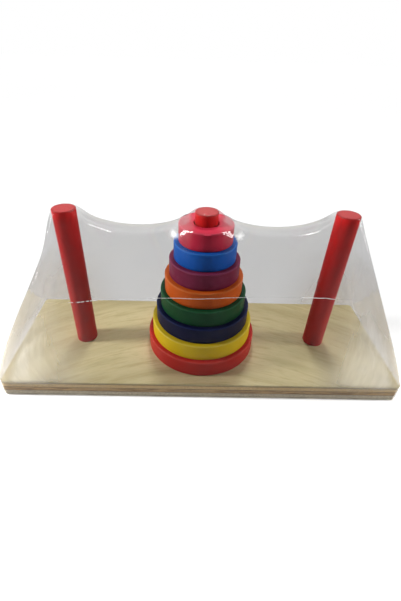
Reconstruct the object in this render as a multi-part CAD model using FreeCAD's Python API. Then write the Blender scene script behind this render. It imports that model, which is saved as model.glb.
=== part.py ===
import FreeCAD, Part
import math
import os

# A tower of Hanoi puzzle, still in its clear shrink film: a plywood base, three dowel pegs
# screwed and glued into it, eight painted wooden rings stacked on the middle peg, and the film.
# Millimetres. +X runs along the base, +Y points to the back and +Z up.
# The origin is the centre of the base's underside.

# Base: five glued plies, thin faces outside and three thicker ones between them
base_length = 304.0
base_depth = 105.0
face_ply = 1.5
inner_ply = 3.8
base_corner_radius = 3.0
base_edge_ease = 0.4

# Pegs: one length of dowel each, standing in a socket through the two uppermost plies
peg_diameter = 16.5
peg_proud = 8.2           # above the top ring
peg_spacing = 98.5
peg_end_ease = 0.6

# Screws: one countersunk wood screw under each peg
screw_head_diameter = 8.0
screw_shank_diameter = 4.0
screw_length = 30.0       # from the head's flat to the tip
screw_point = 5.0
screw_sink = 0.3          # the head's flat lies this far inside the underside
screw_hole_gap = 0.25     # around the shank, in the plies that it passes through
recess_length = 4.6
recess_width = 1.1
recess_depth = 1.4

# Rings, counted from the largest, which lies lowest
ring_colours = ["red", "yellow", "navy", "green", "orange", "plum", "blue", "crimson"]
ring_thickness = 13.6
smallest_ring_diameter = 39.5
ring_diameter_step = 6.9
ring_edge_radius = 0.8
bore_gap = 0.75           # between a ring's bore and the peg, on the radius
bore_edge_ease = 0.5

# Film: a hood over everything, open underneath
film_wall = 0.5
film_gap = 0.4            # over flat faces, and around the base's sides
film_round_gap = 1.0      # around the pegs and the top ring
film_hem_height = 0.8     # its lower edge stands this far above the table
film_sag = 11.0           # the ridge's drop half way between two pegs
film_ridge_half = 5.0     # half the ridge's width there
film_stack_rise = 2.6     # the ridge's height above the top ring, over that ring's rim
film_shoulder_drop = 4.0  # the fold beside the ridge lies this far below it
film_shoulder_step = 1.6  # and this far outside it
film_corner_cut = 0.2     # share of a round's radius by which the film narrows along it
film_end_shoulder = 3.0   # the end folds meet the base's end this far in from its corners
film_end_ridge = 6.0

# Places that follow from the sizes above
base_thickness = 2 * face_ply + 3 * inner_ply
socket_floor = base_thickness - face_ply - inner_ply
ring_count = len(ring_colours)
stack_top = base_thickness + ring_count * ring_thickness
top_ring_radius = smallest_ring_diameter / 2
peg_radius = peg_diameter / 2
peg_top = stack_top + peg_proud
peg_places = [("left", -peg_spacing), ("middle", 0.0), ("right", peg_spacing)]


def ring_diameter(number):
    return smallest_ring_diameter + ring_diameter_step * (ring_count - number)


def upright_cylinder(radius, low, high, x=0.0):
    return Part.makeCylinder(radius, high - low, FreeCAD.Vector(x, 0, low))


def make_screw(x):
    head_radius = screw_head_diameter / 2
    shank_radius = screw_shank_diameter / 2
    head_depth = head_radius - shank_radius
    flat = screw_sink
    tip = flat + screw_length
    head = Part.makeCone(head_radius, shank_radius, head_depth, FreeCAD.Vector(x, 0, flat))
    shank = upright_cylinder(shank_radius, flat + head_depth, tip - screw_point, x)
    point = Part.makeCone(shank_radius, 0, screw_point, FreeCAD.Vector(x, 0, tip - screw_point))
    return head.fuse([shank, point]).removeSplitter()


def cut_recess(screw, x):
    along = Part.makeBox(recess_length, recess_width, recess_depth)
    along.translate(FreeCAD.Vector(x - recess_length / 2, -recess_width / 2, screw_sink))
    across = Part.makeBox(recess_width, recess_length, recess_depth)
    across.translate(FreeCAD.Vector(x - recess_width / 2, -recess_length / 2, screw_sink))
    return screw.cut(along.fuse(across))


def screw_hole(x):
    # the head's well and cone, then a clear hole for the shank
    head_radius = screw_head_diameter / 2
    shank_radius = screw_shank_diameter / 2
    head_depth = head_radius - shank_radius
    well = upright_cylinder(head_radius, 0, screw_sink, x)
    cone = Part.makeCone(head_radius, shank_radius, head_depth, FreeCAD.Vector(x, 0, screw_sink))
    clear = upright_cylinder(shank_radius + screw_hole_gap, screw_sink, base_thickness, x)
    return well.fuse([cone, clear])


def make_ply(low, thickness, eased_edge):
    ply = Part.makeBox(base_length, base_depth, thickness,
                       FreeCAD.Vector(-base_length / 2, -base_depth / 2, low))
    upright = [e for e in ply.Edges if abs(e.tangentAt(e.FirstParameter).z) > 0.9]
    ply = ply.makeFillet(base_corner_radius, upright)
    if eased_edge is not None:
        rim = [e for e in ply.Edges if abs(e.BoundBox.ZMin - eased_edge) < 1e-6
               and abs(e.BoundBox.ZMax - eased_edge) < 1e-6]
        ply = ply.makeFillet(base_edge_ease, rim)
    for side, x in peg_places:
        socket = upright_cylinder(peg_radius, socket_floor, peg_top, x)
        ply = ply.cut(socket).cut(screw_hole(x))
    return ply


def make_plies():
    layers = [("base_ply_1_bottom_face", face_ply), ("base_ply_2_lower", inner_ply),
              ("base_ply_3_centre", inner_ply), ("base_ply_4_upper", inner_ply),
              ("base_ply_5_top_face", face_ply)]
    plies = {}
    low = 0.0
    for name, thickness in layers:
        eased_edge = None
        if name == layers[0][0]:
            eased_edge = 0.0
        if name == layers[-1][0]:
            eased_edge = base_thickness
        plies[name] = make_ply(low, thickness, eased_edge)
        low += thickness
    return plies


def make_peg(x):
    peg = upright_cylinder(peg_radius, socket_floor, peg_top, x)
    end = [e for e in peg.Edges if e.BoundBox.ZMin > peg_top - 1e-6]
    peg = peg.makeFillet(peg_end_ease, end)
    return peg.cut(make_screw(x))


def make_ring(number):
    low = base_thickness + (number - 1) * ring_thickness
    high = low + ring_thickness
    bore_radius = peg_radius + bore_gap
    ring = upright_cylinder(ring_diameter(number) / 2, low, high)
    rims = [e for e in ring.Edges if len(e.Vertexes) == 1 and e.Length > math.pi * peg_diameter]
    ring = ring.makeFillet(ring_edge_radius, rims)
    wide = bore_radius + bore_edge_ease
    lower_ease = Part.makeCone(wide, bore_radius, bore_edge_ease, FreeCAD.Vector(0, 0, low))
    upper_ease = Part.makeCone(bore_radius, wide, bore_edge_ease,
                               FreeCAD.Vector(0, 0, high - bore_edge_ease))
    return ring.cut(upright_cylinder(bore_radius, low, high)).cut(lower_ease).cut(upper_ease)


def film_stations(out):
    # out is how far this skin lies outside the film's inner one. Each station gives x, the least
    # half width beside the bottom ring and, for the fold beside the ridge and for the ridge,
    # half the width and the height.
    around_peg = peg_radius + film_round_gap + out
    around_ring = top_ring_radius + film_round_gap + out
    around_bottom = ring_diameter(1) / 2 + film_round_gap + out
    crest = peg_top + film_gap + out
    over_stack = stack_top + film_gap + out
    narrow = 1 - film_corner_cut
    shoulder = crest - film_shoulder_drop
    bay_x = (top_ring_radius + peg_spacing - peg_radius) / 2
    bay_half = film_ridge_half + out
    end_x = base_length / 2 + film_gap + out
    end_half = base_depth / 2 + film_gap + out
    end_top = base_thickness + film_gap + out
    half_row = [
        (around_peg, around_bottom, around_ring - film_corner_cut * around_peg, over_stack,
         narrow * around_peg, crest),
        (around_ring, around_bottom, narrow * around_ring, over_stack,
         narrow * around_peg, over_stack + film_stack_rise),
        (bay_x, 0.0, bay_half + film_shoulder_step, crest - film_sag - film_shoulder_drop,
         bay_half, crest - film_sag),
    ]
    for x, half in ((-around_peg, narrow * around_peg), (0.0, around_peg),
                    (around_peg, narrow * around_peg)):
        half_row.append((peg_spacing + x, 0.0, half + film_shoulder_step, shoulder, half, crest))
    half_row.append((end_x, 0.0, end_half - film_end_shoulder, end_top,
                     end_half - film_end_ridge, end_top))
    middle = (0.0, around_bottom, around_ring, over_stack, around_peg, crest)
    mirrored = [(-station[0],) + station[1:] for station in reversed(half_row)]
    return mirrored + [middle] + half_row


def film_body(out, foot):
    side = base_depth / 2 + film_gap + out
    side_top = base_thickness + film_gap + out
    wires = []
    for x, least, shoulder_half, shoulder_z, ridge_half, ridge_z in film_stations(out):
        # the side face runs straight from the base's edge to the shoulder, unless the bottom
        # ring's rim pushes it out
        rim_share = ring_thickness / (stack_top - base_thickness)
        rim_z = side_top + rim_share * (shoulder_z - side_top)
        rim_half = max(least, side + rim_share * (shoulder_half - side))
        profile = [(side, foot), (side, side_top), (rim_half, rim_z),
                   (shoulder_half, shoulder_z), (ridge_half, ridge_z)]
        outline = profile + [(-y, z) for y, z in reversed(profile)]
        corners = [FreeCAD.Vector(x, y, z) for y, z in outline]
        wires.append(Part.makePolygon(corners + corners[:1]))
    return Part.makeLoft(wires, True, True)


def make_film():
    outside = film_body(film_wall, film_hem_height)
    inside = film_body(0.0, film_hem_height - 2 * film_wall)
    return outside.cut(inside)


nodes = make_plies()
for side, x in peg_places:
    nodes["peg_" + side] = make_peg(x)
    nodes["screw_" + side] = cut_recess(make_screw(x), x)
for index, colour in enumerate(ring_colours):
    nodes["ring_" + str(index + 1) + "_" + colour] = make_ring(index + 1)
nodes["shrink_film"] = make_film()

os.makedirs("parts", exist_ok=True)
for name, shape in nodes.items():
    shape.exportStep("parts/" + name + ".step")
    print(name, "valid", shape.isValid(), "solids", len(shape.Solids), "volume", round(shape.Volume, 1))
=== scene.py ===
import bpy
import bmesh
from math import atan2, cos, exp, hypot, pi, radians, sin
from mathutils import Matrix, Vector, noise
from mathutils.bvhtree import BVHTree


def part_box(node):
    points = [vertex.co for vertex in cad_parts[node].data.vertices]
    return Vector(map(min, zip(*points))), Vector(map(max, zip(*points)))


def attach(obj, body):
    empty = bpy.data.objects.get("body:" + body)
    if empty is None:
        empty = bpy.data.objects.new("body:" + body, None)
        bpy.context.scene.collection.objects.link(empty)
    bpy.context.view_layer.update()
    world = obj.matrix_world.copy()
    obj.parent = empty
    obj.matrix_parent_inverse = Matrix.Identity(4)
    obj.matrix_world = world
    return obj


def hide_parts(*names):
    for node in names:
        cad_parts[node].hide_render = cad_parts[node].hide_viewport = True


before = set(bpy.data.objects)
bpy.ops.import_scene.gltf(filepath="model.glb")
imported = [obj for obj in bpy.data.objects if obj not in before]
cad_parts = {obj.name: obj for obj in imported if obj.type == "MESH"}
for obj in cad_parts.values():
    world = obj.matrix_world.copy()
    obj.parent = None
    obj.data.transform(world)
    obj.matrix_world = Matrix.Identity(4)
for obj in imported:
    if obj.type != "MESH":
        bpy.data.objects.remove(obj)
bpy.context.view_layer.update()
print("frame loaded:", len(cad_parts), "nodes")

cameraSettings = {
    "place": (-0.0130, -0.2294, 0.2243),
    "turn": 1.14,       # degrees to the right of straight ahead
    "down": 34.91,      # degrees below the horizon
    "roll": 1.82,
    "lens": 21.02,
    "shift": (0.0135, -0.0158),
}


def makeCamera(settings):
    data = bpy.data.cameras.new("camera")
    data.lens = settings["lens"]
    data.sensor_width = 36
    data.shift_x, data.shift_y = settings["shift"]
    data.clip_start, data.clip_end = 0.01, 50
    camera = bpy.data.objects.new("camera", data)
    turn = Matrix.Rotation(radians(-settings["turn"]), 4, "Z")
    tilt = Matrix.Rotation(radians(90 - settings["down"]), 4, "X")
    roll = Matrix.Rotation(radians(settings["roll"]), 4, "Z")
    camera.matrix_world = Matrix.Translation(settings["place"]) @ turn @ tilt @ roll
    bpy.context.collection.objects.link(camera)
    bpy.context.scene.camera = camera


makeCamera(cameraSettings)


class Wire:
    # an output socket that takes part in sums, so that shader maths reads as an expression
    def __init__(self, finish, socket):
        self.finish = finish
        self.socket = socket

    def maths(self, operation, first, second=None, clamp=False):
        inputs = {0: first}
        if second is not None:
            inputs[1] = second
        return self.finish.add("Math", {"operation": operation, "use_clamp": clamp}, inputs)

    def __add__(self, other):
        return self.maths("ADD", self, other)

    def __radd__(self, other):
        return self.maths("ADD", other, self)

    def __sub__(self, other):
        return self.maths("SUBTRACT", self, other)

    def __rsub__(self, other):
        return self.maths("SUBTRACT", other, self)

    def __mul__(self, other):
        return self.maths("MULTIPLY", self, other)

    def __rmul__(self, other):
        return self.maths("MULTIPLY", other, self)

    def __truediv__(self, other):
        return self.maths("DIVIDE", self, other)

    def __pow__(self, other):
        return self.maths("POWER", self, other)

    def __abs__(self):
        return self.maths("ABSOLUTE", self)

    def least(self, other):
        return self.maths("MINIMUM", self, other)

    def most(self, other):
        return self.maths("MAXIMUM", self, other)

    def sign(self):
        return self.maths("SIGN", self)

    def clamped(self):
        return self.maths("ADD", self, 0.0, clamp=True)

    def angleOver(self, run):
        # the angle whose tangent is this wire over run
        return self.maths("ARCTAN2", self, run)

    def out(self, name):
        # another output of the same node
        return Wire(self.finish, self.socket.node.outputs[name])


class Finish:
    # one material, or the world, and the nodes in it
    def __init__(self, name, tree=None):
        if tree is None:
            self.material = bpy.data.materials.new(name)
            self.material.use_nodes = True
        self.tree = tree or self.material.node_tree
        self.tree.nodes.clear()
        self.place = self.add("TexCoord", output="Object")
        self.x, self.y, self.z = self.axes(self.place)

    def add(self, kind, settings=None, inputs=None, output=0):
        node = self.tree.nodes.new("ShaderNode" + kind)
        for key, value in (settings or {}).items():
            setattr(node, key, value)
        for key, value in (inputs or {}).items():
            if isinstance(value, Wire):
                self.tree.links.new(value.socket, node.inputs[key])
            else:
                node.inputs[key].default_value = value
        return None if output is None else Wire(self, node.outputs[output])

    def axes(self, vector):
        split = self.add("SeparateXYZ", {}, {0: vector})
        return split, split.out("Y"), split.out("Z")

    def mix(self, share, first, second, way="MIX"):
        first = (*first, 1) if isinstance(first, tuple) else first
        second = (*second, 1) if isinstance(second, tuple) else second
        return self.add("Mix", {"data_type": "RGBA", "blend_type": way, "clamp_result": True},
                        {0: share, 6: first, 7: second}, output=2)

    def stretched(self, scale, shift=(0, 0, 0)):
        # the place on the piece, squeezed or moved so that a pattern runs along it
        return self.add("Mapping", {}, {"Vector": self.place, "Scale": scale, "Location": shift})

    def noise(self, scale, detail, roughness, distortion=0.0, vector=None):
        # soft random cloud, finer with a higher scale
        return self.add("TexNoise", {"noise_dimensions": "3D"},
                        {"Vector": vector or self.place, "Scale": scale, "Detail": detail,
                         "Roughness": roughness, "Distortion": distortion})

    def band(self, value, low, high):
        # 0 below low, 1 above high
        return self.add("MapRange", {"interpolation_type": "SMOOTHSTEP"},
                        {"Value": value, "From Min": low, "From Max": high})

    def nearEdge(self, value, edge, depths):
        # rises on the way to an edge, between two depths in from it
        deep, shallow = depths
        return self.band(value, edge - deep, edge - shallow)

    def window(self, value, rise, fall):
        # 1 between two values, with soft sides: each side is a pair of values
        return self.band(value, *rise) * (1 - self.band(value, *fall))

    def joined(self, x, y, z=0.0):
        # three values as one place
        return self.add("CombineXYZ", {}, {"X": x, "Y": y, "Z": z})

    def clear(self):
        return self.add("BsdfTransparent", {}, {"Color": (1, 1, 1, 1)})

    def blended(self, share, first, second):
        return self.add("MixShader", {}, {0: share, 1: first, 2: second})

    def bump(self, height, distance, strength):
        return self.add("Bump", {}, {"Height": height, "Distance": distance,
                                     "Strength": strength})

    def surface(self, shader):
        self.add("OutputMaterial", {}, {"Surface": shader}, output=None)
        return self.material

    def principled(self, **inputs):
        names = {key.replace("_", " "): value for key, value in inputs.items()}
        return self.add("BsdfPrincipled", {}, names)


def grey(level):
    return (level, level, level)


boardSettings = {
    "pale": (0.73, 0.64, 0.350),
    "warm": (0.65, 0.53, 0.265),
    "olive": (0.60, 0.52, 0.27),
    "mark": (0.42, 0.36, 0.15),
    "arch": 2.6,            # how strongly the figure bows towards the back, per metre
    "figureScale": 38.0,
    "streakScale": 330.0,
    "poreScale": 1300.0,
    "shadowPatches": (              # painted shadow: dark patches beside the stack, where its shadow falls on the board: x, place in the figure, half length and half width
        (-0.083, -0.0150, 0.024, 0.0050),
        (0.070, -0.0160, 0.030, 0.0060),
        (-0.030, -0.0380, 0.030, 0.0040),
    ),
    "shadowShare": 0.42,
    "edge": (1.00, 0.77, 0.42),
    "rounding": (0.0007, 0.0003),       # depths below the face: edge's colour full, and starting
    "glued": (0.0001, 0.0006),          # heights over the veneer's underside: glue full, and none
    "roughness": 0.52,
    "relief": 0.00008,
}

glueLine = (0.16, 0.10, 0.055)
fibreScale = 1500.0
alongGrain = (0.06, 0.06, 1.0)      # fibres seen from the side
endGrain = (0.55, 0.55, 1.0)        # and cut across

plySettings = {
    "base_ply_1_bottom_face": {"light": (1.00, 0.92, 0.74), "dark": (0.56, 0.48, 0.35),
                               "along": True},
    "base_ply_2_lower": {"light": (0.95, 0.84, 0.62), "dark": (0.64, 0.53, 0.36),
                         "along": False},
    "base_ply_3_centre": {"light": (0.93, 0.62, 0.27), "dark": (0.36, 0.19, 0.07),
                          "along": True},
    "base_ply_4_upper": {"light": (1.00, 0.76, 0.37), "dark": (0.80, 0.56, 0.26),
                         "along": False},
}


# painted shadow: darker patches on the board at both sides of the stack, where the stack's shadow
# falls
def paintedShadowPatches(f, settings, figure, streak, colour):
    for x, place, halfLong, halfWide in settings["shadowPatches"]:
        dx, dy = (f.x - x) / halfLong, (figure - place) / halfWide
        mark = 1 - f.band((dx * dx + dy * dy) ** 0.5 + streak * 0.9, 0.55, 1.55)
        colour = f.mix(mark * settings["shadowShare"], colour, settings["mark"])
    return colour


def boardFace(settings, low, high):
    f = Finish("plywood_face")
    figure = f.y + f.x * f.x * settings["arch"]
    along = f.joined(f.x * 0.10, figure, f.z * 0.3)
    broad = f.noise(settings["figureScale"], 2, 0.5, 0.4, along)
    streak = f.noise(settings["streakScale"], 4, 0.6, 0.2, along)
    pores = f.noise(settings["poreScale"], 3, 0.6, 0.0, along)
    colour = f.mix(f.band(broad, 0.30, 0.62), settings["olive"], settings["pale"])
    colour = f.mix(f.band(streak, 0.42, 0.75) * 0.60, colour, settings["warm"])
    colour = f.mix(f.band(streak, 0.52, 0.64) * 0.30, colour, settings["mark"])
    # painted shadow patches beside the stack
    colour = paintedShadowPatches(f, settings, figure, streak, colour)
    colour = f.mix(f.band(pores, 0.52, 0.70) * 0.40, colour, settings["mark"])
    colour = f.mix((1 - f.band(pores, 0.30, 0.46)) * 0.22, colour, settings["pale"])
    # the veneer's edge below the face, and the glue under it
    fibre = f.noise(fibreScale, 4, 0.6, 0.3, f.stretched(alongGrain))
    below = 1 - f.nearEdge(f.z, high.z, settings["rounding"])
    colour = f.mix(below, colour, f.mix(fibre, settings["mark"], settings["edge"]))
    glue = 1 - f.band(f.z - low.z, *settings["glued"])
    colour = f.mix(glue * 0.85, colour, glueLine)
    rough = settings["roughness"] + 0.12 * streak
    relief = f.bump(streak * 0.7 + pores * 0.3, settings["relief"], 0.5)
    return f.surface(f.principled(Base_Color=colour, Roughness=rough, Normal=relief))


def plyEdge(name, settings, low, high):
    f = Finish("ply_edge_" + name)
    fibre = f.noise(fibreScale, 4, 0.6, 0.3,
                    f.stretched(alongGrain if settings["along"] else endGrain))
    cloud = f.noise(60.0, 3, 0.5, 0.0, f.stretched((0.5, 0.5, 2.0)))
    colour = f.mix(f.band(fibre, 0.32, 0.62), settings["dark"], settings["light"])
    knots = f.noise(55.0, 2, 0.5, 0.6, f.stretched((0.5, 0.5, 2.4), (0.7, 0.2, 0.1)))
    colour = f.mix(f.band(knots, 0.66, 0.74) * 0.65, colour, settings["dark"])
    colour = f.mix(cloud * 0.35, colour, settings["dark"], "MULTIPLY")
    fromJoint = (f.z - low).least(high - f.z)
    glue = 1 - f.band(fromJoint, 0.0001, 0.00042)
    colour = f.mix(glue * 0.75, colour, glueLine)
    relief = f.bump(fibre, 0.0001, 0.6)
    return f.surface(f.principled(Base_Color=colour, Roughness=0.72, Normal=relief))


def paintNode(name, material):
    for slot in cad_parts[name].material_slots:
        slot.material = material


def woodFinishes():
    paintNode("base_ply_5_top_face", boardFace(boardSettings, *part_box("base_ply_5_top_face")))
    for name, settings in plySettings.items():
        low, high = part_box(name)
        paintNode(name, plyEdge(name, settings, low.z, high.z))


paintSettings = {
    # the rim colours are a painted highlight along each ring's top outer edge, lighter than the
    # paint
    "ring_1_red": {"colour": (0.54, 0.018, 0.014), "rim": (0.74, 0.10, 0.08)},
    "ring_2_yellow": {"colour": (0.78, 0.54, 0.006), "rim": (0.94, 0.78, 0.12)},
    "ring_3_navy": {"colour": (0.001, 0.003, 0.036), "rim": (0.02, 0.035, 0.14)},
    "ring_4_green": {"colour": (0.005, 0.066, 0.020), "rim": (0.04, 0.18, 0.08)},
    "ring_5_orange": {"colour": (0.66, 0.105, 0.008), "rim": (0.82, 0.24, 0.06)},
    "ring_6_plum": {"colour": (0.20, 0.015, 0.055), "rim": (0.36, 0.08, 0.17)},
    "ring_7_blue": {"colour": (0.004, 0.105, 0.50), "rim": (0.05, 0.24, 0.72)},
    "ring_8_crimson": {"colour": (0.64, 0.020, 0.060), "rim": (0.82, 0.10, 0.16)},
}

pegPlaces = ("left", "middle", "right")

pegPaintSettings = {
    "colour": (0.58, 0.010, 0.010),
    "end": (0.40, 0.040, 0.040),
    "darkerRed": (0.30, 0.012, 0.012),
}

paintRoughness = 0.36
paintShine = 0.14       # 0.5 would be usual
paintRelief = 0.00012
# depths in from an edge, between which the paint changes towards it: on the rings towards a
# painted highlight along the top outer edge, on the pegs towards the end's colour and a darker
# ring round its rim
ringEdge = {"side": (0.0016, 0.0002), "top": (0.0014, 0.0002)}
pegEdge = {"end": (0.0009, 0.0003), "rim": (0.0015, 0.0008)}


def ringPaint(name, settings, low, high):
    f = Finish("paint_" + name)
    radius = (f.x * f.x + f.y * f.y) ** 0.5
    outer = (high.x - low.x) / 2
    seed = outer * 40
    cloud = f.noise(70.0, 3, 0.55, 0.2, f.stretched((1, 1, 1), (seed, 0, 0)))
    lathe = f.noise(900.0, 3, 0.6, 0.0, f.stretched((0.06, 0.06, 1.0), (0, 0, seed)))
    edgeSide = f.nearEdge(radius, outer, ringEdge["side"])
    edgeTop = f.nearEdge(f.z, high.z, ringEdge["top"])
    # painted highlight: rim is the top outer edge, made lighter where the rounded edge catches
    # the light; a little of the same colour is also mixed in at random
    rim = edgeSide * edgeTop
    colour = f.mix(f.band(cloud, 0.30, 0.75) * 0.14, settings["colour"], settings["rim"])
    colour = f.mix((rim * (0.25 + cloud * 0.6)).clamped(), colour, settings["rim"])
    rough = paintRoughness + 0.18 * cloud
    relief = f.bump(lathe * 0.6 + cloud * 0.4, paintRelief, 0.5)
    return f.surface(f.principled(Base_Color=colour, Roughness=rough, Normal=relief,
                                  Specular_IOR_Level=paintShine))


def pegPaint(name, settings, low, high):
    f = Finish("paint_" + name)
    cloud = f.noise(60.0, 3, 0.5, 0.3, f.stretched((1.0, 1.0, 0.25)))
    grain = f.noise(1100.0, 3, 0.6, 0.0, f.stretched((1.0, 1.0, 0.03)))
    blotch = f.noise(210.0, 4, 0.65, 0.6, f.stretched((1.0, 1.0, 0.45)))
    end = f.nearEdge(f.z, high.z, pegEdge["end"])
    across, radius = f.x - (low.x + high.x) / 2, (high.x - low.x) / 2
    rim = f.nearEdge((across * across + f.y * f.y) ** 0.5, radius, pegEdge["rim"])
    colour = f.mix(f.band(cloud, 0.35, 0.8) * 0.30, settings["colour"], settings["end"])
    colour = f.mix(f.band(blotch, 0.48, 0.66) * 0.40, colour, settings["darkerRed"])
    colour = f.mix(end * 0.85, colour, settings["end"])
    # a darker ring round the rim of the top end, and darker blotches on the end
    topEndDarkening = end * rim * 0.6 + end * f.band(blotch, 0.50, 0.62) * 0.25
    colour = f.mix(topEndDarkening, colour, settings["darkerRed"])
    colour = f.mix(f.band(grain, 0.56, 0.76) * 0.30, colour, settings["darkerRed"])
    rough = paintRoughness + 0.16 * cloud
    relief = f.bump(grain, paintRelief, 0.5)
    return f.surface(f.principled(Base_Color=colour, Roughness=rough, Normal=relief,
                                  Specular_IOR_Level=paintShine))


screwSettings = {
    "warm": (0.62, 0.58, 0.46),
    "bright": (0.74, 0.73, 0.70),
    "roughness": 0.28,
    "relief": 0.00003,
}


def screwMetal(settings):
    f = Finish("zinc_plate")
    turned = f.noise(2600.0, 2, 0.5, 0.0, f.stretched((1.0, 1.0, 0.2)))
    cloud = f.noise(400.0, 3, 0.5)
    colour = f.mix(cloud, settings["warm"], settings["bright"])
    rough = settings["roughness"] + cloud * 0.2
    relief = f.bump(turned, settings["relief"], 0.5)
    return f.surface(f.principled(Base_Color=colour, Metallic=1.0, Roughness=rough,
                                  Normal=relief))


def paintFinishes():
    zinc = screwMetal(screwSettings)
    for name, settings in paintSettings.items():
        low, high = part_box(name)
        paintNode(name, ringPaint(name, settings, low, high))
    for place in pegPlaces:
        low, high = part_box("peg_" + place)
        paintNode("peg_" + place, pegPaint("peg_" + place, pegPaintSettings, low, high))
        paintNode("screw_" + place, zinc)


woodFinishes()
paintFinishes()
print("wood and paint done")

filmSettings = {
    "gap": 0.00015,         # between the film and what it is shrunk onto
    "columns": 330,
    "rows": 130,
    "crowding": 1.3,        # rows lie closer together towards the ridge
    "cornerRadius": 0.0031,
    "sag": {-1: 0.0145, 1: 0.0140},     # of the ridge, half way between two pegs, left and right
    "sagShape": 0.62,
    "sagFade": 1.5,
    "smoothings": 26,
    "swell": {-1: 0.0048, 1: 0.0024},   # of the ends, low down
    "pinch": {-1: 0.0030, 1: 0.0000},   # of the ends, close to the peg's top
    "endReach": (0.7, 0.012),   # past a peg's middle, in its radii, and past its side: none, full
    "endWall": 0.0007,      # how far the ends may stand out past the board
    "pleats": 13,           # fanning out from a peg's top
    "pleatDepth": 0.0004,
    "pleatReach": 0.035,
    "pleatWander": 1.2,     # how unevenly they are spaced, in radians
    "tucks": 0.00022,       # depth of the upright tucks in the skirt round the board
    "tuckSpacing": 900,     # in radians per metre
    "tuckCorner": 0.06,     # how far from the ends they begin to deepen
    "hem": 0.0009,          # the lower edge's height above the table
    "skirtRows": 6,
}

pegBoxes = [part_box("peg_" + place) for place in pegPlaces]
ringBoxes = [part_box(name) for name in paintSettings]
boardLow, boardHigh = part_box("base_ply_5_top_face")
pegRadius = (pegBoxes[1][1].x - pegBoxes[1][0].x) / 2
pegSpacing = (pegBoxes[2][1].x + pegBoxes[2][0].x) / 2


justInside = 0.9999     # so that a ray at the hull's very edge still meets it


def discs():
    # centre x, radius and top of everything round that the film is stretched over
    for low, high in pegBoxes + ringBoxes:
        yield (low.x + high.x) / 2, (high.x - low.x) / 2, high.z


def smoothStep(value, low, high):
    share = min(max((value - low) / (high - low), 0.0), 1.0)
    return share * share * (3 - 2 * share)


def side(value):
    return 1 if value > 0 else -1


def tightHull(gap):
    # the tightest straight-sided cover over everything inside the film
    bm = bmesh.new()
    for x, radius, top in discs():
        bmesh.ops.create_circle(bm, segments=96, radius=radius + gap,
                                matrix=Matrix.Translation((x, 0, top + gap)))
    spread = Matrix.Diagonal((boardHigh.x + gap, boardHigh.y + gap, 1, 1))
    lift = Matrix.Translation((0, 0, boardHigh.z + gap))
    bmesh.ops.create_grid(bm, x_segments=1, y_segments=1, size=1, matrix=lift @ spread)
    bmesh.ops.convex_hull(bm, input=bm.verts)
    tree = BVHTree.FromBMesh(bm)
    bm.free()
    return tree


def ridgeSag(x, settings):
    # how far the ridge hangs between the middle peg and a side peg
    share = (abs(x) - pegRadius) / (pegSpacing - 2 * pegRadius)
    if share <= 0 or share >= 1:
        return 0.0
    return settings["sag"][side(x)] * (1 - (2 * share - 1) ** 2) ** settings["sagShape"]


def leastHeight(x, y, gap):
    # the film never lies lower than what is under it
    floor = boardHigh.z + gap
    for centre, radius, top in discs():
        if hypot(x - centre, y) < radius + gap:
            floor = max(floor, top + gap)
    return floor


def roundedPlan(u, v, halfX, halfY, radius):
    # a grid point, -1 to 1 each way, put in a rectangle with round corners
    ring = max(abs(u), abs(v))
    if ring == 0:
        return 0.0, 0.0
    x, y = u / ring * halfX, v / ring * halfY
    dx, dy = abs(x) - (halfX - radius), abs(y) - (halfY - radius)
    if dx > 0 and dy > 0:
        far = hypot(dx, dy)
        most = max(dx, dy)
        x = side(x) * (halfX - radius + dx * most / far)
        y = side(y) * (halfY - radius + dy * most / far)
    return x * ring, y * ring


def shapeEnds(co, foot, ridge, settings):
    # the film hugs the peg near its top, and stands away from the straight line lower down
    share = min(max((co.z - foot) / (ridge - foot), 0.0), 1.0)
    start, reach = settings["endReach"]
    beyond = smoothStep(abs(co.x), pegSpacing + pegRadius * start, pegSpacing + pegRadius + reach)
    end = side(co.x)
    out = settings["swell"][end] * sin(pi * share ** 0.55) * (1 - share)
    out -= settings["pinch"][end] * sin(pi * share ** 2.6)
    co.x += end * out * beyond
    co.y += co.y / boardHigh.y * out * 0.5 * beyond
    co.x = end * min(abs(co.x), boardHigh.x + settings["endWall"])
    co.y = side(co.y) * min(abs(co.y), boardHigh.y + settings["endWall"])


def pleatDrop(co, settings):
    # how far the film dips at this place, in folds that fan out from the tops of the side pegs
    dx = abs(co.x) - pegSpacing
    far = hypot(dx, co.y) - pegRadius
    if far <= 0:
        return 0.0
    angle = atan2(co.y, dx)
    wander = noise.noise(Vector((co.x * 20, co.y * 20, 3.0))) * settings["pleatWander"]
    wave = sin(settings["pleats"] * angle + wander + 2.0 * side(co.x))
    fade = smoothStep(far, 0.0, 0.006) * exp(-far / settings["pleatReach"])
    return settings["pleatDepth"] * (1 + wave) * fade * (0.6 + 0.4 * smoothStep(dx, -0.01, 0.01))


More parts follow.
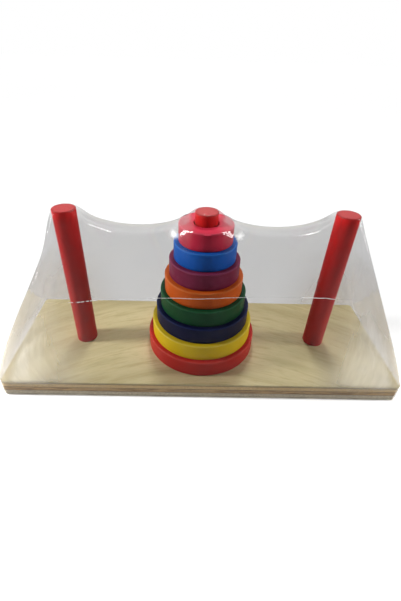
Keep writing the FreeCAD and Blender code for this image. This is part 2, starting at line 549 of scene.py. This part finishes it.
def makeFilm(settings):
    gap = settings["gap"]
    halfX, halfY = boardHigh.x + gap, boardHigh.y + gap
    ridge = pegBoxes[0][1].z + gap
    foot = boardHigh.z + gap
    hull = tightHull(gap)
    bm = bmesh.new()
    bmesh.ops.create_grid(bm, x_segments=settings["columns"], y_segments=settings["rows"], size=1)
    least = {}
    for vert in bm.verts:
        v = side(vert.co.y) * abs(vert.co.y) ** settings["crowding"]
        x, y = roundedPlan(vert.co.x, v, halfX, halfY, settings["cornerRadius"])
        above = Vector((x * justInside, y * justInside, 1))
        hit = hull.ray_cast(above, Vector((0, 0, -1)))[0]
        z = hit.z if hit else foot
        share = (z - foot) / (ridge - foot)
        z -= ridgeSag(x, settings) * share ** settings["sagFade"]
        least[vert.index] = leastHeight(x, y, gap)
        vert.co = Vector((x, y, max(z, least[vert.index])))
    inner = [v for v in bm.verts if not v.is_boundary]
    for step in range(settings["smoothings"]):
        bmesh.ops.smooth_vert(bm, verts=inner, factor=0.5, use_axis_z=True)
        for vert in inner:
            vert.co.z = max(vert.co.z, least[vert.index])
    for vert in inner:
        vert.co.z = max(vert.co.z - pleatDrop(vert.co, settings), least[vert.index])
        shapeEnds(vert.co, foot, ridge, settings)
    edges = [e for e in bm.edges if e.is_boundary]
    depth = (foot - settings["hem"]) / settings["skirtRows"]
    for row in range(settings["skirtRows"]):        # the skirt, down to the hem
        made = bmesh.ops.extrude_edge_only(bm, edges=edges)["geom"]
        lowered = [g for g in made if isinstance(g, bmesh.types.BMVert)]
        bmesh.ops.translate(bm, verts=lowered, vec=(0, 0, -depth))
        edges = [g for g in made if isinstance(g, bmesh.types.BMEdge) and g.is_boundary]
        for vert in lowered:
            tuckIn(vert.co, settings)
    putInOrder(bm)
    bmesh.ops.recalc_face_normals(bm, faces=bm.faces)
    return pieceOf("wrap_film", bm)


def putInOrder(bm):
    # extruding leaves faces and edges in a chance order, which differs from run to run
    bm.verts.index_update()
    for items in (bm.faces, bm.edges):
        items.sort(key=cornerOrder)
        items.index_update()


def cornerOrder(item):
    corners = [vert.index for vert in item.verts]
    return min(corners) * 1e6 + max(corners)


def tuckIn(co, settings):
    # one row of small upright tucks, uneven, and deeper towards the corners
    near = smoothStep(abs(co.x), boardHigh.x - settings["tuckCorner"], boardHigh.x)
    along = co.x if abs(co.y) > boardHigh.y - 0.001 else co.y
    wave = 0.5 + 0.5 * sin(along * settings["tuckSpacing"] + 3 * sin(along * 210))
    out = settings["tucks"] * wave * (0.25 + 0.75 * near) / settings["skirtRows"] * 2.0
    co.x += side(co.x) * out * (abs(co.x) > boardHigh.x - 0.002)
    co.y += side(co.y) * out * (abs(co.y) > boardHigh.y - 0.002)


def placed(name, data):
    piece = bpy.data.objects.new(name, data)
    bpy.context.collection.objects.link(piece)
    return piece


def pieceOf(name, bm, smooth=True):
    for face in bm.faces:
        face.smooth = smooth
    mesh = bpy.data.meshes.new(name)
    bm.to_mesh(mesh)
    bm.free()
    return placed(name, mesh)


filmLook = {
    "solid": 0.290,                 # how much of the film's face isn't see-through
    "index": 1.32,
    "roughness": 0.10,
    "clean": 0.004,                 # colour where the film is clean
    "cloudAndReflection": (0.84, 0.82, 0.77),   # where the film is clouded: partly its own clouding, partly painted reflection
    "paintedBoardReflection": (0.66, 0.60, 0.48),     # and on the end walls low down, as a painted reflection of the board
    "paintedGlint": 0.95,                  # and at the painted glint beside the top ring
    "lean": 0.39,                   # of the end walls, away from upright
    "wall": (0.140, 0.151),         # out from the middle, at the foot: where an end wall begins
    "fanAbove": 0.008,              # over the pegs' tops, where the streaks fan out from
    "pressed": (0.009, 0.015),      # below that place: where it stops lying on a peg's top
    "ends": (0.066, 0.140),         # out from the middle: where the haze begins and is full
    "lowDown": (0.02, 0.11),        # below the fan's top: where the haze grows
    "rightSide": (0.06, 0.13),
    "haze": 0.42,
    "streaks": 0.18,
    "rightHaze": 0.20,              # more of it on the right
    "wallsClearer": 0.80,           # and less on the end walls
    "overTopRing": 0.12,
    "topRing": ((0.007, 0.011), (0.020, 0.030)),    # out from the middle: the painted reflection over the top ring starts, ends
    "boardReflectionTop": (0.030, 0.100),    # over the table: where the painted reflection of the board on the end walls thins out
    "star": (0.0225, 0.1190),       # the painted glint's place: out from the middle, and up
    "starFlatness": 3.0,
    "starReach": 0.0012,
    "starSpokes": 0.0078,
    "glossUp": (0.098, 0.108),      # the clear gloss along the ridge: starts, full
    "glossOut": (0.080, 0.090),     # and stops
    "dullUp": (0.085, 0.100),       # less mirroring by the side pegs' tops
    "dullOut": (0.100, 0.107),
    "crease": 0.0004,
    "coatRoughness": 0.05,
    "mirror": 0.95,                 # how much the film mirrors at a slant
    "mirrorColour": (0.95, 0.95, 0.95, 1),
    "mirrorRoughness": 0.07,
    "mirrorNarrow": 4.0,            # higher keeps the mirroring closer to the outline
}


def filmCloudAndReflection(f, look, below, streaks, fine, wall):
    # over both ends, stronger low down, with a little over the top ring: partly the film's own
    # clouding, partly painted reflection of pale surroundings met at a slant; over the top ring
    # it is painted reflection
    sideX = abs(f.x)
    wisps = f.noise(26.0, 4, 0.6, 0.6, f.stretched((1.0, 1.0, 0.5)))
    ends = f.band(sideX, *look["ends"])
    low = f.band(below, *look["lowDown"])
    more = 1 + look["rightHaze"] * f.band(f.x, *look["rightSide"])
    streaky = look["haze"] + look["streaks"] * f.band(streaks, 0.36, 0.70)
    haze = ends * more * streaky * (0.12 + 1.10 * low)
    haze = haze * (1 - look["wallsClearer"] * wall)
    haze = haze + ends * f.band(fine, 0.50, 0.76) * 0.10 + f.band(wisps, 0.56, 0.80) * 0.03
    fromMiddle = (f.x * f.x + f.y * f.y) ** 0.5
    overTop = f.window(fromMiddle, *look["topRing"])
    toSides = f.band(sideX - abs(f.y) * 0.35, 0.001, 0.009)
    return haze + overTop * toSides * look["overTopRing"]


def paintedGlints(f, look):
    # painted glint: a small ragged star at each side of the top ring, on the front only
    out, up = abs(f.x) - look["star"][0], f.z - look["star"][1]
    spokes = f.noise(1.5, 2, 0.5, 0.0, f.joined(up.angleOver(out) * 2.0, f.x.sign()))
    far = (out * out + up * up * look["starFlatness"]) ** 0.5
    paintedGlint = 1 - f.band(far, 0.0002, look["starReach"] + look["starSpokes"] * spokes)
    return paintedGlint * (1 - f.band(f.y, -0.008, -0.004))


def filmPlastic(look):
    # a thin skin that is part clear and part clouded, and mirrors what it meets at a slant. The
    # clouding is partly painted reflection, the cream on the end walls is a painted reflection of
    # the board, and the star beside the top ring is a painted glint
    f = Finish("clear_film")
    sideX = abs(f.x)
    foot = boardHigh.z
    below = pegBoxes[0][1].z + look["fanAbove"] - f.z
    fan = f.y.angleOver(below + (sideX - pegSpacing).most(0.0))
    lengthways = f.joined(fan * 9.0, below * 5.0, f.x.sign() * 3.0)
    streaks = f.noise(2.2, 4, 0.6, 0.2, lengthways)
    fine = f.noise(8.0, 3, 0.6, 0.1, lengthways)
    wall = f.band(sideX + (f.z - foot) * look["lean"], *look["wall"])
    pressed = 1 - f.band(below, *look["pressed"])
    # clouding at the ends: partly the film's own, partly painted reflection
    cloudAndReflection = filmCloudAndReflection(f, look, below, streaks, fine, wall)
    cloudAndReflection = cloudAndReflection * f.band(f.z, foot - 0.006, foot + 0.004) * (1 - pressed)
    # painted glint beside the top ring
    paintedGlint = paintedGlints(f, look)
    # painted reflection of the board on the end walls, low down
    paintedBoardReflection = wall * f.window(f.z, (foot - 0.004, foot + 0.001), look["boardReflectionTop"])

    colour = f.mix((cloudAndReflection * 1.5).clamped(), grey(look["clean"]), look["cloudAndReflection"])
    colour = f.mix(paintedBoardReflection * (0.75 + 0.25 * streaks), colour, look["paintedBoardReflection"])
    colour = f.mix(paintedGlint, colour, grey(look["paintedGlint"]))
    rough = look["roughness"] + 0.12 * cloudAndReflection
    crinkle = f.noise(60.0, 3, 0.5, 0.5, f.stretched((1.0, 1.0, 0.45)))
    relief = f.bump(crinkle * 0.5 + fine * 0.3, look["crease"], 0.28)
    gloss = f.band(f.z, *look["glossUp"]) * (1 - f.band(sideX, *look["glossOut"]))
    skin = f.principled(Base_Color=colour, Roughness=rough, IOR=look["index"], Normal=relief,
                        Coat_Weight=gloss, Coat_Roughness=look["coatRoughness"])
    solid = look["solid"] * (1 - 0.5 * pressed) + cloudAndReflection * 0.46 + paintedBoardReflection * 0.14 + paintedGlint * 0.40
    body = f.blended(solid.clamped(), f.clear(), skin)

    mirror = f.principled(Base_Color=look["mirrorColour"], Metallic=1.0,
                          Roughness=look["mirrorRoughness"], Normal=relief)
    facing = f.add("LayerWeight", {}, {"Blend": 0.5}, output="Facing")
    dull = f.band(f.z, *look["dullUp"]) * f.band(sideX, *look["dullOut"])
    slant = facing ** look["mirrorNarrow"] * look["mirror"] * (1 - 0.5 * paintedBoardReflection)
    slant = slant * (1 - 0.95 * pressed) * (1 - 0.8 * dull)
    return f.surface(f.blended(slant.clamped(), body, mirror))


film = makeFilm(filmSettings)
film.data.materials.append(filmPlastic(filmLook))
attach(film, "film")
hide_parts("shrink_film")
print("film done:", len(film.data.vertices), "vertices")

seamSettings = {
    "reach": 0.112,         # to each side of the middle
    "columns": 300,
    "height": 0.0806,       # over the middle, above the table
    "rise": 0.030,          # per metre to the right
    "droop": -0.35,         # per square metre away from the middle
    "wobble": ((0.00008, 160), (0.00004, 530)),     # heights, and radians per metre
    "half": 0.00023,        # half its width
    "proud": 0.00006,       # of the film
    "stretches": (          # where along x it starts and ends, how strongly, share of dashes
        ((-0.098, -0.091), (-0.077, -0.070), 0.88, 1.00),
        ((-0.045, -0.034), (0.026, 0.036), 0.42, 0.15),
        ((0.066, 0.072), (0.089, 0.095), 0.75, 0.00),
    ),
    "elsewhere": 0.10,      # a trace of dashes all along
    "dashScale": 520.0,
    "colour": (0.90, 0.90, 0.90, 1),
}


def makeSeam(settings):
    # the weld line across the front: a narrow ribbon laid on the film
    skin = BVHTree.FromPolygons([v.co for v in film.data.vertices],
                                [p.vertices for p in film.data.polygons])
    bm = bmesh.new()
    bmesh.ops.create_grid(bm, x_segments=settings["columns"], y_segments=1, size=1)
    for vert in bm.verts:
        x = vert.co.x * settings["reach"]
        z = settings["height"] + settings["rise"] * x + settings["droop"] * x * x
        z += settings["half"] * vert.co.y
        z += sum(size * sin(x * rate) for size, rate in settings["wobble"])
        start = Vector((x, boardLow.y * 4, z))      # well in front of the film
        place, normal = skin.ray_cast(start, Vector((0, 1, 0)))[:2]
        vert.co = place + settings["proud"] * (normal if normal.y < 0 else -normal)
    bmesh.ops.recalc_face_normals(bm, faces=bm.faces)
    if sum(face.normal.y for face in bm.faces) > 0:
        bmesh.ops.reverse_faces(bm, faces=bm.faces)
    return pieceOf("film_seam", bm)


def weldedSeam(settings):
    f = Finish("welded_seam")
    breaks = f.noise(settings["dashScale"], 2, 0.5, 0.0, f.stretched((1.0, 0.02, 0.02)))
    dashes = f.band(breaks, 0.40, 0.50)
    shown = settings["elsewhere"] * dashes
    for rise, fall, strength, dashed in settings["stretches"]:
        shown = shown + f.window(f.x, rise, fall) * strength * (1 - dashed + dashed * dashes)
    white = f.principled(Base_Color=settings["colour"], Roughness=0.35)
    return f.surface(f.blended(shown.clamped(), f.clear(), white))


seam = makeSeam(seamSettings)
seam.data.materials.append(weldedSeam(seamSettings))
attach(seam, "film")
print("seam done")

studioSettings = {
    "floorHalf": 8.0,
    "floorDrop": 0.0001,    # keeps the floor and the board's underside from lying in one plane
    "sheet": {"front": 0.82, "back": 0.43, "far": 0.12},    # a pale sheet under the object
    "sheetSplit": (-0.05, 0.06),        # along y, from the front's tone to the back's
    "sheetFade": (0.04, 0.42),          # away from the board, to the far tone
    "glow": {"near": 0.20, "far": 0.93},    # added for the eye, so that the floor looks even
    "frontFill": 0.04,
    "backFill": 0.75,
    "wall": (-0.15, 0.65),  # along y of a direction, from the front's fill to the back's
    "aim": 0.06,            # height that the lights point at
    "left": {"azimuth": -86, "elevation": 29, "away": 0.80, "size": (0.13, 0.56), "power": 10.5},
    "right": {"azimuth": 86, "elevation": 27, "away": 0.85, "size": (0.18, 0.50), "power": 6.6},
    "top": {"azimuth": 176, "elevation": 59, "away": 0.85, "size": (0.17, 0.06), "power": 4.2},
}


def makeFloor(settings):
    bm = bmesh.new()
    bmesh.ops.create_grid(bm, x_segments=2, y_segments=2, size=settings["floorHalf"])
    bmesh.ops.translate(bm, verts=bm.verts, vec=(0, 0, -settings["floorDrop"]))
    floor = pieceOf("floor", bm, smooth=False)
    f = Finish("pale_floor")
    away = f.band((abs(f.x) - boardHigh.x).most(abs(f.y) - boardHigh.y), *settings["sheetFade"])
    base = f.mix(f.band(f.y, *settings["sheetSplit"]), grey(settings["sheet"]["front"]),
                 grey(settings["sheet"]["back"]))
    base = f.mix(away, base, grey(settings["sheet"]["far"]))
    glow = f.mix(away, grey(settings["glow"]["near"]), grey(settings["glow"]["far"]))
    seen = f.add("LightPath", output="Is Camera Ray")
    floor.data.materials.append(f.surface(f.principled(
        Base_Color=base, Roughness=0.9, Emission_Color=glow, Emission_Strength=seen)))


def makeLight(name, settings, aim):
    # azimuth 0 is in front of the object, 90 at its right
    data = bpy.data.lights.new(name, "AREA")
    data.shape = "RECTANGLE"
    data.size, data.size_y = settings["size"]
    data.energy = settings["power"]
    turn, rise = radians(settings["azimuth"]), radians(settings["elevation"])
    ray = Vector((cos(rise) * sin(turn), -cos(rise) * cos(turn), sin(rise)))
    light = placed(name, data)
    light.location = Vector((0, 0, aim)) + ray * settings["away"]
    light.rotation_mode = "QUATERNION"
    light.rotation_quaternion = (-ray).to_track_quat("-Z", "Y")


def makeWorld(settings):
    # white to look at. As a light it is a pale wall behind the object and a dim room in front
    world = bpy.data.worlds.new("studio")
    bpy.context.scene.world = world
    world.use_nodes = True
    f = Finish("", world.node_tree)
    sky = f.add("TexCoord", output="Generated")
    behind = f.band(f.axes(sky)[1], *settings["wall"])
    wall = settings["frontFill"] + (settings["backFill"] - settings["frontFill"]) * behind
    seen = f.add("LightPath", output="Is Camera Ray")
    back = f.add("Background", {}, {"Color": (1, 1, 1, 1), "Strength": wall.most(seen)})
    f.add("OutputWorld", {}, {"Surface": back}, output=None)


makeFloor(studioSettings)
makeWorld(studioSettings)
for name in ("left", "right", "top"):
    makeLight("softbox_" + name, studioSettings[name], studioSettings["aim"])
bpy.context.scene.view_settings.view_transform = "Standard"
print("floor and light done")
